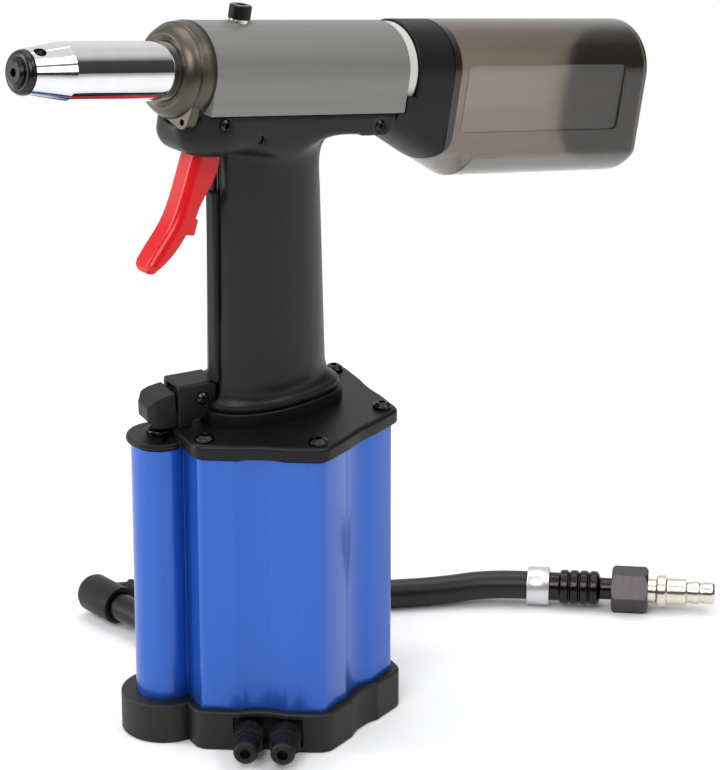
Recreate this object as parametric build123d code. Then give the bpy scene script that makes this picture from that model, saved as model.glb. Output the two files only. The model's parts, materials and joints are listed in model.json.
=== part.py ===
from build123d import *
from math import cos, radians, sin
import os

# A hydro-pneumatic blind rivet tool standing on its base, in millimetres.
# The floor is Z = 0, the base axis is the Z axis, the nose points to -X and the collector to +X.

# Driving dimensions of the layout
HEAD_RAKE = 11.1
HEAD_AXIS_Z = 288.5
HEX_TURN = 15.0
VALVE_TURN = 165.0
FIT = 0.05

# Driving dimensions of the base
SCREW_CIRCLE = 47.3
SCREW_SHANK = 2.0
SCREW_HOLE = 2.2
BOOT_TOP = 18.0
BOOT_FLOOR = 3.0
CAP_TOP = 15.0
GASKET = 1.0
PLATE_BOTTOM = 134.0
PLATE_TOP = 140.3
LOBE_TOP = 136.6
AIR_BORE = 38.5
PISTON_LOW = 18.2
VALVE_RADIUS = 51.5
VALVE_BORE = 7.5
RAM_RADIUS = 7.0

# Driving dimensions of the handle
FOOT_BOTTOM = 143.0
FOOT_TOP = 146.5
GRIP_LENGTH = 27.4
GRIP_WIDTH = 18.5
GRIP_X = -2.5
ROD_X = -25.6
ROD_RADIUS = 1.5

# Driving dimensions of the trigger and of the lever that it works
TRIGGER_PIVOT = (-19.9, 267.5)
TRIGGER_HALF = 5.2
NOSE_DROP = 3.0
LEVER_PIVOT = (35.1, 152.4)
LEVER_PAD = (24.7, 151.0)
LEVER_TOE = (VALVE_RADIUS, 145.4)
TOUCH = 0.15

# Driving dimensions of the head, measured along its own axis from the base axis
NOSE_RADIUS = 12.0
NOSE_TIP = -130.2
HEAD_RADIUS = 20.4
HEAD_FRONT = -44.0
HEAD_REAR = 61.2
CRADLE_TOP = -14.4
CRADLE_LOW = -31.5
ARM_LOW = -24.0
TROUGH = 18.0
PULL_BORE = 14.45
STEM_RADIUS = 6.0
TUBE_RADIUS = 5.0
PLUG_REAR = 66.2
JAW_CASE_RADIUS = 8.8

# Driving dimensions of the collector
BOTTLE_HALF = 21.0
BOTTLE_FRONT = 86.6
BOTTLE_REAR = 204.6
BOTTLE_CREASE = -34.0
BOTTLE_FLOOR = -46.6
BOTTLE_CORNER = 4.5
PAD_FRONT = 192.6
BOTTLE_WALL = 2.0
CHIN_CREASE = -31.5
CHIN_REAR = -38.5
SLOPE_END = 104.4

# Driving dimensions of the air line
HOSE_RADIUS = 6.5
INLET_X = -5.0
INLET_Z = 10.5
HOSE_ROUTE = [
    (7.6, 108.7, 10.5),
    (20.6, 101.2, 10.5),
    (34.6, 92.0, 8.4),
    (52.2, 77.6, 6.6),
    (72.0, 60.0, 6.6),
    (94.0, 43.5, 6.6),
    (121.5, 25.5, 6.7),
    (139.5, 12.4, 9.6),
    (151.7, -0.7, 9.6),
]

HEAD = Plane(
    origin=(0, 0, HEAD_AXIS_Z),
    x_dir=(cos(radians(HEAD_RAKE)), 0, -sin(radians(HEAD_RAKE))),
    z_dir=(sin(radians(HEAD_RAKE)), 0, cos(radians(HEAD_RAKE))),
)
VALVE_SIDE = Plane(
    origin=(0, 0, 0),
    x_dir=(cos(radians(VALVE_TURN)), sin(radians(VALVE_TURN)), 0),
    z_dir=(0, 0, 1),
)
VALVE_AXIS = Pos(
    VALVE_RADIUS * cos(radians(VALVE_TURN)),
    VALVE_RADIUS * sin(radians(VALVE_TURN)),
)
STAND = (Align.CENTER, Align.CENTER, Align.MIN)


# Shared shapes

def turned(axis, *points):
    """A solid of revolution whose half section is drawn in the X-Z plane."""
    return revolve(Plane.XZ * make_face(Polyline(*points, close=True)), axis)


def plate_of(half_width, *lines):
    """A plate whose closed outline is drawn in the X-Z plane and thickened to both sides."""
    edges = [edge for line in lines for edge in line.edges()]
    return extrude(Plane.XZ * make_face(edges), half_width, both=True)


def flat_plate(half_width, *points):
    """A plate with straight edges in the X-Z plane."""
    return plate_of(half_width, Polyline(*points, close=True))


def disc(half_width, centre, radius):
    """A short cylinder across the X-Z plane."""
    return extrude(Plane.XZ * Pos(*centre) * Circle(radius), half_width, both=True)


def coil(radius, wire, length, turns):
    """A compression spring of square wire standing on Z = 0, inside its stated length."""
    path = Helix((length - wire) / turns, length - wire, radius)
    section = Plane(origin=path @ 0, x_dir=(1, 0, 0), z_dir=path % 0) * Rectangle(wire, wire)
    return Pos(0, 0, wire / 2) * sweep(section, path, is_frenet=True)


def screw_places():
    """The six screws on their circle, one in each corner of the hexagon."""
    return PolarLocations(SCREW_CIRCLE, 6, HEX_TURN)


def base_outline(grow, hollow, lobe=None):
    """A hexagon rounded about its six screws, hollow on five sides, with a round valve lobe on the sixth."""
    outline = offset(RegularPolygon(SCREW_CIRCLE, 6, rotation=HEX_TURN), grow)
    side = SCREW_CIRCLE * cos(radians(30)) + grow
    half_chord = 9.8
    hollow_radius = (half_chord**2 + hollow**2) / (2 * hollow)
    for step in range(1, 6):
        flute = Pos(side + hollow_radius - hollow, 0) * Circle(hollow_radius)
        outline -= Rot(0, 0, VALVE_TURN + 60 * step) * flute
    if lobe:
        outline += VALVE_AXIS * Circle(lobe)
    return outline


def horseshoe(half_width, bottom, corner):
    """A section across the head: round over the top, straight sides, rounded lower corners."""
    block = Pos(0, bottom / 2) * Rectangle(2 * half_width, -bottom)
    lower = block.vertices().sort_by(Axis.Y)[:2]
    return Circle(half_width) + fillet(lower, corner)


def across_head(along, section):
    """A section (width, height) stood across the head's axis."""
    return Plane(origin=(along, 0, 0), x_dir=(0, 1, 0), z_dir=(1, 0, 0)) * section


def along_head(section, start, end):
    """A section drawn across the head and pulled along its axis."""
    return extrude(across_head(start, section), end - start)


def cap_screw(head_radius, head_height, shank_radius, shank_length, socket):
    """A screw hanging down from Z = 0, with a bevelled head above and a hexagon socket."""
    screw = turned(Axis.Z, (0, head_height), (0, -shank_length), (shank_radius, -shank_length),
                   (shank_radius, 0), (head_radius, 0), (head_radius, 0.5 * head_height),
                   (0.6 * head_radius, head_height))
    return screw - Pos(0, 0, 0.35 * head_height) * extrude(RegularPolygon(socket, 6), head_height)


# Base: boot, cap, air cylinder and top plate

def make_rubber_boot():
    """The soft boot under the tool, open at the front for the silencers and at the back for the inlet."""
    boot = extrude(base_outline(7.6, 1.9, 18.6), BOOT_TOP)
    boot = fillet(boot.faces().sort_by(Axis.Z)[-1].edges(), 1.2)
    boot = chamfer(boot.faces().sort_by(Axis.Z)[0].edges(), 0.8)
    boot -= Pos(0, 0, BOOT_FLOOR) * extrude(base_outline(4.15, 2.2, 12.2), BOOT_TOP)
    boot -= Rot(0, 0, 225) * Pos(52, 2.25, 9.3) * Box(24, 30, 13.0)
    boot -= Pos(INLET_X, 50, INLET_Z) * Box(13.8, 30, BOOT_TOP, align=STAND)
    return boot - Pos(INLET_X, 50, INLET_Z) * Rot(90, 0, 0) * Cylinder(6.9, 30)


def silencer_places():
    """The two places on the front side where the silencers screw in."""
    return [Rot(0, 0, 225) * Pos(0, offset_along, 8.6) for offset_along in (10.1, -5.6)]


def make_base_cap():
    """The cap that closes the air cylinder from below and carries the inlet and the exhaust."""
    low = BOOT_FLOOR + 0.1
    cap = Pos(0, 0, low) * extrude(base_outline(4.0, 2.2, 12.0), CAP_TOP - low)
    cap += Pos(0, 0, CAP_TOP) * Cylinder(AIR_BORE - 0.2, 3.0, align=STAND)
    for place in silencer_places():
        cap -= place * turned(Axis.X, (28, 0), (60, 0), (60, 4.4), (28, 4.4))
    cap -= Pos(INLET_X, 42, INLET_Z) * Rot(90, 0, 0) * Cylinder(4.25, 40)
    for place in screw_places():
        cap -= place * Cylinder(SCREW_HOLE, 60)
        cap -= place * Cylinder(3.55, 14.4)
    return cap


def make_gasket(bottom):
    """A flat gasket that follows the cylinder's section."""
    ring = base_outline(3.4, 2.2, 11.4) - Circle(AIR_BORE + 0.3) - VALVE_AXIS * Circle(VALVE_BORE + 0.3)
    for place in screw_places():
        ring -= place * Circle(SCREW_HOLE)
    return Pos(0, 0, bottom) * extrude(ring, GASKET)


def make_air_cylinder():
    """The extruded air cylinder with its screw channels and the valve bore in the lobe."""
    section = base_outline(4.0, 2.2, 12.0)
    section -= Circle(AIR_BORE)
    section -= VALVE_AXIS * Circle(VALVE_BORE)
    for place in screw_places():
        section -= place * Circle(SCREW_HOLE)
    return Pos(0, 0, CAP_TOP + GASKET) * extrude(section, PLATE_BOTTOM - CAP_TOP - 2 * GASKET)


def make_top_plate():
    """The bevelled plate over the cylinder, with a low step on the lobe and a rise under the handle."""
    plate = extrude(base_outline(6.5, 0.7), PLATE_TOP - PLATE_BOTTOM)
    plate = chamfer(plate.faces().sort_by(Axis.Z)[-1].edges(), 1.1)
    step = extrude(VALVE_AXIS * Circle(14.0), LOBE_TOP - PLATE_BOTTOM)
    step = chamfer(step.faces().sort_by(Axis.Z)[-1].edges(), 0.7)
    plate = Pos(0, 0, PLATE_BOTTOM) * (plate + step)
    plate += loft([
        Pos(-1.5, 0, PLATE_TOP) * Ellipse(36.5, 26.0),
        Pos(-1.5, 0, FOOT_BOTTOM) * Ellipse(32.5, 22.3),
    ])
    plate -= VALVE_AXIS * Pos(0, 0, LOBE_TOP) * Cylinder(6.0, 20, align=STAND)
    plate -= VALVE_AXIS * Pos(0, 0, PLATE_BOTTOM) * Cylinder(4.6, 20)
    plate -= Pos(0, 0, PLATE_BOTTOM) * Cylinder(11.05, 40)
    for place in screw_places():
        plate -= place * Pos(0, 0, PLATE_BOTTOM) * Cylinder(SCREW_HOLE, 30)
    return plate


def make_plate_screws():
    """Six button-head screws that clamp the top plate."""
    screw = Pos(0, 0, PLATE_TOP) * cap_screw(4.0, 2.6, SCREW_SHANK, 26.0, 1.5)
    return Compound([place * screw for place in screw_places()])


def make_base_screws():
    """Six screws that clamp the base cap from below, with their heads sunk into it."""
    screw = turned(Axis.Z, (0, 4.2), (3.5, 4.2), (3.5, 7.2), (SCREW_SHANK, 7.2), (SCREW_SHANK, 36), (0, 36))
    return Compound([place * screw for place in screw_places()])


def make_silencers():
    """Two exhaust silencers: a thread, a hexagon and a grooved round end."""
    silencer = turned(Axis.X, (30, 0), (30, 4.3), (48.6, 4.3), (48.6, 6.2), (58, 6.2), (58, 5.2),
                      (59.6, 5.2), (59.6, 4.6), (60.6, 4.6), (60.6, 5.2), (66.8, 5.2), (68, 4.0), (68, 0))
    hexagon = Plane(origin=(50.2, 0, 0), z_dir=(1, 0, 0)) * RegularPolygon(6.5, 6, major_radius=False)
    silencer += extrude(hexagon, 6.6)
    silencer -= turned(Axis.X, (64, 0), (70, 0), (70, 2.3), (64, 2.3))
    return Compound([place * silencer for place in silencer_places()])


# Base: air piston, ram and the valve in the lobe

def make_air_piston():
    """The air piston at the bottom of its stroke, grooved for its seal and bored for the ram."""
    low = PISTON_LOW
    rim = AIR_BORE - 0.35
    groove = AIR_BORE - 4.2
    hub = RAM_RADIUS + 0.02
    return turned(Axis.Z, (hub, low), (rim, low), (rim, low + 4), (groove, low + 4), (groove, low + 9),
                  (rim, low + 9), (rim, low + 12), (16, low + 12), (13, low + 16), (hub, low + 16))


def make_air_piston_seal():
    """The lipped seal in the air piston's groove."""
    low = PISTON_LOW + 4.1
    root = AIR_BORE - 4.1
    lip = AIR_BORE - FIT
    top = low + 4.8
    return turned(Axis.Z, (root, low), (lip, low), (lip - 0.6, low + 2.4), (lip, top), (root, top))


def make_ram_rod():
    """The hydraulic ram: a long rod carried by the air piston, with a tapered tip."""
    return turned(Axis.Z, (0, PISTON_LOW), (RAM_RADIUS, PISTON_LOW), (RAM_RADIUS, 176),
                  (RAM_RADIUS - 1.2, 178.5), (0, 178.5))


def make_ram_bush():
    """The flanged brass bush that guides the ram through the top plate into the handle."""
    bore = RAM_RADIUS + FIT
    return turned(Axis.Z, (bore, 127), (15, 127), (15, 133.9), (11, 133.9), (11, 152), (bore, 152))


def make_ram_seal():
    """The oil seal above the bush."""
    bore = RAM_RADIUS + FIT
    return turned(Axis.Z, (bore, 152.1), (10.9, 152.1), (10.9, 157), (8.6, 157), (bore, 155))


def make_valve_spool():
    """The valve spool in the lobe, with two lands and a stem that reaches up to the lever."""
    land = VALVE_BORE - FIT
    top = LEVER_TOE[1] - 2.0 - TOUCH
    return VALVE_AXIS * turned(Axis.Z, (0, 44), (land, 44), (land, 58), (4, 60), (4, 88), (land, 90),
                               (land, 118), (3.3, 120), (3.3, top - 0.5), (2.8, top), (0, top))


def make_valve_spring():
    """The spring under the spool."""
    return VALVE_AXIS * Pos(0, 0, CAP_TOP + 0.2) * coil(5.4, 1.3, 28.6, 6)


def make_valve_gland():
    """The round collar that guides the valve stem on the lobe."""
    return VALVE_AXIS * turned(Axis.Z, (3.4, PLATE_BOTTOM - 5), (4.5, PLATE_BOTTOM - 5), (4.5, LOBE_TOP),
                               (5.4, LOBE_TOP), (5.4, LOBE_TOP + 2.0), (4.8, LOBE_TOP + 2.6),
                               (3.4, LOBE_TOP + 2.6))


# Handle: one casting with the grip, the foot and the cradle

def make_grip():
    """The oval grip, a little thicker downwards, flaring out into its foot."""
    top = Pos(GRIP_X - 0.6, 0, 268) * Ellipse(GRIP_LENGTH - 1.5, GRIP_WIDTH - 0.4)
    lower = Pos(GRIP_X + 0.4, 0, 153) * Ellipse(GRIP_LENGTH + 0.9, GRIP_WIDTH + 0.5)
    waist = Pos(-1.8, 0, 149) * Ellipse(GRIP_LENGTH + 1.9, GRIP_WIDTH + 1.3)
    foot = Pos(-1.5, 0, FOOT_TOP) * Ellipse(31.0, 21.0)
    flange = extrude(Pos(-1.5, 0, FOOT_BOTTOM) * Ellipse(31.6, 21.6), FOOT_TOP - FOOT_BOTTOM)
    return loft([lower, top]) + loft([foot, waist, lower]) + flange


def make_cradle():
    """The cradle that carries the head cylinder: a deep front with a round prow and a thin arm behind."""
    front = -48.5
    rear = 57.0
    outline = FilletPolyline(
        (front, CRADLE_TOP), (front, CRADLE_LOW), (2, CRADLE_LOW), (24.5, ARM_LOW), (rear, ARM_LOW),
        (rear, CRADLE_TOP), radius=[9.5, 30.0, 40.0, 5.0],
    )
    cradle = plate_of(HEAD_RADIUS, outline, Line((rear, CRADLE_TOP), (front, CRADLE_TOP)))
    plan = Pos((front + rear) / 2, 0) * Rectangle(rear - front, 2 * HEAD_RADIUS)
    plan = fillet(plan.vertices().sort_by(Axis.X)[:2], 20.0)
    return cradle & Pos(0, 0, -60) * extrude(plan, 80)


def under_cradle(edge):
    """True for the edges where the grip runs into the underside of the cradle."""
    spots = [(HEAD.location.inverse() * Location(edge @ part)).position for part in (0, 0.5, 1)]
    beside_grip = all(spot.X > -28 and abs(spot.Y) < 18.6 for spot in spots)
    at_underside = all(CRADLE_LOW - 0.1 < spot.Z < ARM_LOW + 0.1 for spot in spots)
    return edge.geom_type == GeomType.BSPLINE and beside_grip and at_underside


def make_gusset():
    """The hollow curve between the back of the grip and the arm of the cradle."""
    top = (40.0, ARM_LOW + 0.3)
    low = (28.2, -37.0)
    curve = ThreePointArc(top, (31.6, -27.6), low)
    return plate_of(9.0, curve, Polyline(low, (10, -37.0), (10, -20), (40.0, -20), top))


def cradle_screw_places():
    """Two small screws on each side of the cradle, facing outwards."""
    places = []
    for side in (1, -1):
        for along, height in ((-35.0, -18.2), (49.0, -19.7)):
            face = Plane(origin=(along, side * (HEAD_RADIUS - 1.8), height), z_dir=(0, side, 0))
            places.append(HEAD.location * face.location)
    return places


def lug_section(grow):
    """The lock ring's lug, seen along the head: an ear that runs into the ring on both sides."""
    ear = make_hull(Circle(18.6 + grow).edges() + (Pos(0, -20.0) * Circle(4.4 + grow)).edges())
    return Rot(0, 0, -30) * ear


def make_handle():
    """The finished casting, bored for the ram and cut out for head, trigger, rod and lever."""
    handle = make_grip() + HEAD * make_cradle()
    handle = fillet(handle.edges().filter_by(under_cradle), 3.2) + HEAD * make_gusset()
    handle -= HEAD * Pos(0, 0, CRADLE_TOP) * Box(400, 120, 120, align=STAND)
    handle -= HEAD * along_head(Circle(TROUGH + FIT), -80, 80)
    handle -= HEAD * along_head(Circle(HEAD_RADIUS + 0.5), -80, HEAD_FRONT)
    handle -= HEAD * along_head(lug_section(0.4), -80, -45.8)
    handle -= Pos(0, 0, 140) * Cylinder(RAM_RADIUS + 0.6, 118, align=STAND)
    handle -= Pos(0, 0, 240) * Cylinder(3.0, 60, align=STAND)
    handle -= Pos(0, 0, 140) * Cylinder(11.05, 17.2, align=STAND)
    slot = Pos(-30.4, 0, 260.5) * Box(29.2, 2 * TRIGGER_HALF + 1.0, 40, align=STAND)
    slot += Pos(-36.2, 0, 240) * Box(17.6, 2 * TRIGGER_HALF + 1.0, 40, align=STAND)
    handle -= slot - HEAD * Pos(0, 0, -20.3) * Box(300, 60, 100, align=STAND)
    handle -= Pos(ROD_X - 2, 0, 148) * Box(8.0, 2 * ROD_RADIUS + 1.0, 114, align=STAND)
    handle -= Pos(ROD_X, 0, 204) * Cylinder(3.3, 26, align=STAND)
    handle -= Pos(-33.8, 0, 159) * Box(10.4, 6.2, 85.2, align=STAND)
    handle -= VALVE_SIDE * Pos(25.4, 2.2, 146.0) * Box(11.0, 14.6, 11.0, align=STAND)
    handle -= VALVE_SIDE * Pos(38, 0, 120) * Box(20, 16.6, 39.4, align=STAND)
    handle -= Pos(TRIGGER_PIVOT[0], 0, TRIGGER_PIVOT[1]) * Rot(90, 0, 0) * Cylinder(1.65, 80)
    for place in cradle_screw_places():
        handle -= place * Cylinder(1.6, 18)
        handle -= place * Cylinder(2.9, 10, align=STAND)
    return handle


def make_cradle_screws():
    """Four small cap screws sunk into the sides of the cradle."""
    screw = cap_screw(2.6, 1.7, 1.5, 8.0, 1.2)
    return Compound([place * screw for place in cradle_screw_places()])


def make_rod_cover():
    """The strip that closes the rod's channel down the front of the grip."""
    strip = Pos(-30.2, 0, 159.3) * Box(2.8, 5.8, 83.2, align=STAND)
    front_edges = strip.faces().sort_by(Axis.X)[0].edges().filter_by(Axis.Z)
    return fillet(front_edges, 1.2)


# Trigger, rod, lever and lever bracket

def make_trigger():
    """The curved trigger blade with its rear stop, hung from a flat arm that swings on the pin."""
    front = Spline((-41.0, 262.5), (-46.4, 248.3), (-53.7, 233.8), (-61.7, 224.9), (-66.6, 219.0))
    tip = ThreePointArc((-66.6, 219.0), (-66.7, 216.4), (-63.2, 217.2))
    lower = Spline((-63.2, 217.2), (-54.6, 222.4), (-48.0, 229.2))
    stop = Polyline((-48.0, 229.2), (-43.8, 228.0), (-41.6, 234.4), (-42.8, 234.8))
    upper = Spline((-42.8, 234.8), (-37.7, 243.8), (-33.5, 249.4), (-30.0, 262.5))
    blade = plate_of(TRIGGER_HALF, front, tip, lower, stop, upper, Line((-30.0, 262.5), (-41.0, 262.5)))
    curved = [face for face in blade.faces() if abs(face.normal_at().Y) < 0.5]
    front_face = sorted(curved, key=lambda face: face.area)[-1]
    blade = fillet(front_face.edges().sort_by(SortBy.LENGTH)[-2:], 3.6)
    along_tip = Plane(origin=(-66.8, 0, 216.2), x_dir=(0, 1, 0), z_dir=(0.754, 0, -0.657))
    guide = Pos(0, 100) * Rectangle(2 * TRIGGER_HALF, 200)
    guide = fillet(guide.vertices().sort_by(Axis.Y)[:2], 4.6)
    blade &= along_tip * extrude(guide, 60, both=True)
    pivot_x, pivot_z = TRIGGER_PIVOT
    arm = flat_plate(TRIGGER_HALF, (-41.0, 262.4), (-40.4, 267.5), (-24, 270.6), (pivot_x, pivot_z + 3.6),
                     (pivot_x, pivot_z - 3.4), (-28.5, 264.2), (-30.0, 262.4))
    arm += disc(TRIGGER_HALF, TRIGGER_PIVOT, 3.6)
    arm += disc(TRIGGER_HALF, (ROD_X, pivot_z - NOSE_DROP), 2.0)
    return blade + arm - disc(40, TRIGGER_PIVOT, 1.65)


def make_trigger_pin():
    """The pin through the cradle that the trigger swings on."""
    return disc(HEAD_RADIUS - 1.6, TRIGGER_PIVOT, 1.6)


def make_trigger_rod():
    """The rod that carries the trigger's movement down to the lever, with a collar above its spring."""
    top = TRIGGER_PIVOT[1] - NOSE_DROP - 2.0 - TOUCH
    low = LEVER_PAD[1] + 2.0 + TOUCH
    return Pos(ROD_X, 0) * turned(Axis.Z, (0, low), (ROD_RADIUS, low), (ROD_RADIUS, 226), (2.8, 226),
                                  (2.8, 228), (ROD_RADIUS, 228), (ROD_RADIUS, top), (0, top))


def make_trigger_spring():
    """The spring that lifts the rod and the trigger back."""
    return Pos(ROD_X, 0, 204.1) * coil(2.35, 0.8, 21.8, 9)


def make_valve_lever():
    """The lever from rod to valve: a pad under the rod, a pivot eye and a faceted head over the stem."""
    lever = flat_plate(3.9, (LEVER_PAD[0], 149.0), (35, 148.4), (46, 147.0), (48, 147.0), (48, 155.2),
                       (35, 156.4), (LEVER_PAD[0], 153.0))
    lever += disc(3.9, LEVER_PIVOT, 4.2)
    lever += Pos(0, 2.5, 0) * disc(6.4, LEVER_PAD, 2.0)
    head = flat_plate(7.8, (46.2, 141.2), (55.0, 141.2), (58.6, 144.6), (58.9, 150.6), (56.8, 153.8),
                      (53.0, 155.4), (46.9, 156.4))
    plan = Pos(53, 0) * Rectangle(14, 15.6)
    plan = chamfer(plan.vertices().sort_by(Axis.X)[-2:], 4.0)
    head &= Pos(0, 0, 100) * extrude(plan, 100)
    head -= Pos(46.0, 0, 140) * Box(10.5, 10.0, 5.4, align=(Align.MIN, Align.CENTER, Align.MIN))
    lever += head
    lever += disc(3.4, LEVER_TOE, 2.0)
    return VALVE_SIDE * (lever - disc(20, LEVER_PIVOT, 2.05))


def make_lever_bracket():
    """The fork that carries the lever in front of the grip's foot."""
    bracket = Pos(37.05, 0, FOOT_BOTTOM + 0.1) * Box(17.5, 16.0, 15.9, align=STAND)
    bracket = chamfer(bracket.faces().sort_by(Axis.Z)[-1].edges().filter_by(Axis.X), 1.0)
    bracket += Pos(42.65, 0, PLATE_TOP) * Box(6.3, 16.0, 4.0, align=STAND)
    bracket -= Pos(36.6, 0, 146.6) * Box(40, 8.4, 10.8, align=STAND)
    return VALVE_SIDE * (bracket - disc(20, LEVER_PIVOT, 2.05))


def make_lever_screw():
    """The pivot screw of the lever, with its head on the near side of the bracket."""
    screw = Rot(-90, 0, 0) * cap_screw(2.75, 2.0, 2.0, 15.6, 1.3)
    return VALVE_SIDE * Pos(LEVER_PIVOT[0], 8.05, LEVER_PIVOT[1]) * screw


# Head: cylinder, nose and lock ring

def make_head_cylinder():
    """The pulling cylinder: round on top, flat sided, round below where it lies in the cradle."""
    section = Circle(HEAD_RADIUS) + Pos(0, CRADLE_TOP / 2) * Rectangle(2 * HEAD_RADIUS, -CRADLE_TOP)
    section -= Pos(0, CRADLE_TOP - 25) * Rectangle(80, 50)
    section += Circle(TROUGH)
    body = along_head(section, HEAD_FRONT, HEAD_REAR)
    body -= turned(Axis.X, (-50, 0), (-50, STEM_RADIUS + FIT), (-30, STEM_RADIUS + FIT), (-30, PULL_BORE),
                   (52, PULL_BORE), (52, 16.6), (70, 16.6), (70, 0))
    body -= Pos(-19.2, 0, 20.0) * Cylinder(5.4, 10, align=STAND)
    body -= Pos(-19.2, 0, 10) * Cylinder(3.0, 20, align=STAND)
    body -= Pos(4, 0, -25) * Cylinder(3.0, 20, align=STAND)
    return HEAD * body


def make_bleed_screw():
    """The bleed screw on top of the cylinder."""
    screw = turned(Axis.Z, (0, 5.6), (3.9, 5.6), (4.5, 5.0), (4.5, 0), (2.9, 0), (2.9, -6.6), (0, -6.6))
    screw -= Pos(0, 0, 2.6) * extrude(RegularPolygon(2.4, 6), 5.0)
    return HEAD * Pos(-19.2, 0, 21.4) * screw


def make_bleed_washer():
    """The sealing washer under the bleed screw."""
    return HEAD * Pos(-19.2, 0, 20.0) * extrude(Circle(4.3) - Circle(3.1), 1.4)


def make_head_seal():
    """The seal between the lock ring and the cylinder."""
    return HEAD * turned(Axis.X, (-45, 14.6), (-45, 19.7), (HEAD_FRONT, 19.7), (HEAD_FRONT, 14.6))


def make_lock_ring():
    """The rounded ring that clamps the nose housing, with a drilled lug low on one side."""
    shoulder = ThreePointArc((-56.2, 15.0), (-54.1, 17.7), (-50.8, 19.2))
    rest = Polyline((-50.8, 19.2), (-50.6, 19.8), (-46.0, HEAD_RADIUS), (-45.0, HEAD_RADIUS), (-45.0, 14.4),
                    (-50.2, 14.4), (-50.2, NOSE_RADIUS + FIT), (-55.0, NOSE_RADIUS + FIT), (-56.2, 15.0))
    ring = revolve(Plane.XZ * make_face([shoulder, *rest.edges()]), Axis.X)
    ring += along_head(lug_section(0.0), -51.0, -46.2) - along_head(Circle(17), -60, -40)
    return HEAD * (ring - along_head(Rot(0, 0, -30) * Pos(0, -21.6) * Circle(1.2), -60, -40))


def make_nose_housing():
    """The chromed housing round the jaws: a cone with two spanner holes in front, a flange at the rear."""
    housing = turned(Axis.X, (-125.3, 5.0), (-125.3, 9.3), (-110.6, NOSE_RADIUS), (-50.0, NOSE_RADIUS),
                     (-50.0, 14.2), (-44.1, 14.2), (-44.1, 9.1), (-114.0, 9.1), (-114.0, 5.0))
    for turn in (22.5, 202.5):
        housing -= Rot(turn, 0, 0) * Pos(-121.2, 0, 7.2) * Cylinder(2.6, 10, align=STAND)
    return HEAD * housing


def make_nosepiece():
    """The bored nosepiece that the rivet is held against."""
    dome = ThreePointArc((-126.4, 9.0), (-127.7, 8.3), (-128.4, 6.6))
    rest = Polyline((-128.4, 6.6), (-128.0, 5.6), (-129.2, 5.5), (NOSE_TIP, 4.2), (NOSE_TIP, 1.6),
                    (-113.2, 1.6), (-113.2, 2.6), (-114.6, 4.9), (-125.4, 4.9), (-125.4, 9.0), (-126.4, 9.0))
    return HEAD * revolve(Plane.XZ * make_face([dome, *rest.edges()]), Axis.X)


# Head: pulling piston and jaws

def make_pull_piston():
    """The pulling piston with its long front stem, grooved for its seal and bored for the mandrel."""
    face = PULL_BORE - FIT
    return HEAD * turned(Axis.X, (-84, 2.4), (-84, STEM_RADIUS), (9, STEM_RADIUS), (9, face), (12.6, face),
                         (12.6, 11.8), (16.8, 11.8), (16.8, face), (21, face), (21, TUBE_RADIUS + 0.02),
                         (12, TUBE_RADIUS + 0.02), (12, 2.4))


def make_pull_piston_seal():
    """The seal in the pulling piston's groove."""
    face = PULL_BORE - FIT
    return HEAD * turned(Axis.X, (12.7, 11.9), (12.7, face), (16.7, face), (16.7, 11.9))


def make_return_spring():
    """The spring that pushes the pulling piston forward again."""
    along = Plane(origin=(21.1, 0, 0), z_dir=(1, 0, 0))
    return HEAD * (along * coil(11.0, 2.4, 30.6, 5))


def make_rear_plug():
    """The white plug that closes the cylinder behind and guides the mandrel tube."""
    bore = TUBE_RADIUS + FIT
    return HEAD * turned(Axis.X, (52, bore), (52, 16.5), (HEAD_REAR, 16.5), (HEAD_REAR, 20.0),
                         (PLUG_REAR - 0.5, 20.0), (PLUG_REAR, 19.5), (PLUG_REAR, bore))


def make_mandrel_tube():
    """The tube that leads broken mandrels back into the collector."""
    return HEAD * turned(Axis.X, (12.1, 3.6), (12.1, TUBE_RADIUS), (72, TUBE_RADIUS), (72, 3.6))


def make_jaw_case():
    """The case screwed on the piston's stem, coned inside so that it closes the jaws."""
    return HEAD * turned(Axis.X, (-112, 3.3), (-112, JAW_CASE_RADIUS - 1.0), (-110.6, JAW_CASE_RADIUS),
                         (-78, JAW_CASE_RADIUS), (-78, STEM_RADIUS + 0.02), (-84, STEM_RADIUS + 0.02),
                         (-84, 7.2), (-100, 7.2), (-100, 6.7), (-111, 3.3))


def make_jaws():
    """Three wedge jaws with a small bore between them."""
    cone = turned(Axis.X, (-110.6, 1.5), (-110.6, 3.25), (-100.2, 6.45), (-100.2, 1.5))
    wedge = make_face(Polyline((0, 0.6), (-17.0, 10.4), (17.0, 10.4), close=True))
    jaw = cone & along_head(wedge, -120, -90)
    return HEAD * Compound([Rot(turn, 0, 0) * jaw for turn in (0, 120, 240)])


def make_jaw_pusher():
    """The sleeve that presses the jaws forward."""
    return HEAD * turned(Axis.X, (-99.9, 2.0), (-99.9, 4.0), (-97, 6.9), (-91, 6.9), (-91, 2.0))


def make_jaw_spring():
    """The spring behind the jaw pusher."""
    along = Plane(origin=(-90.9, 0, 0), z_dir=(1, 0, 0))
    return HEAD * (along * coil(5.2, 1.4, 6.8, 2))


# Collector: adapter, bottle and pad

def collector_section(half_width, crease, under):
    """A section across the head: round on top, straight sides down to a crease, a curved underside."""
    top = ThreePointArc((-half_width, 0), (0, half_width), (half_width, 0))
    sides = [Line((side, 0), (side, crease)) for side in (half_width, -half_width)]
    return make_face([top, *sides, under])


def full_section(half_width, crease, bottom):
    """A collector section with a full, half-oval underside."""
    under = EllipticalCenterArc((0, crease), half_width, crease - bottom, start_angle=180, arc_size=180)
    return collector_section(half_width, crease, under)


def bowed_section(half_width, crease, bottom):
    """A collector section with a shallow bow below the crease."""
    under = ThreePointArc((-half_width, crease), (0, bottom), (half_width, crease))
    return collector_section(half_width, crease, under)


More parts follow.
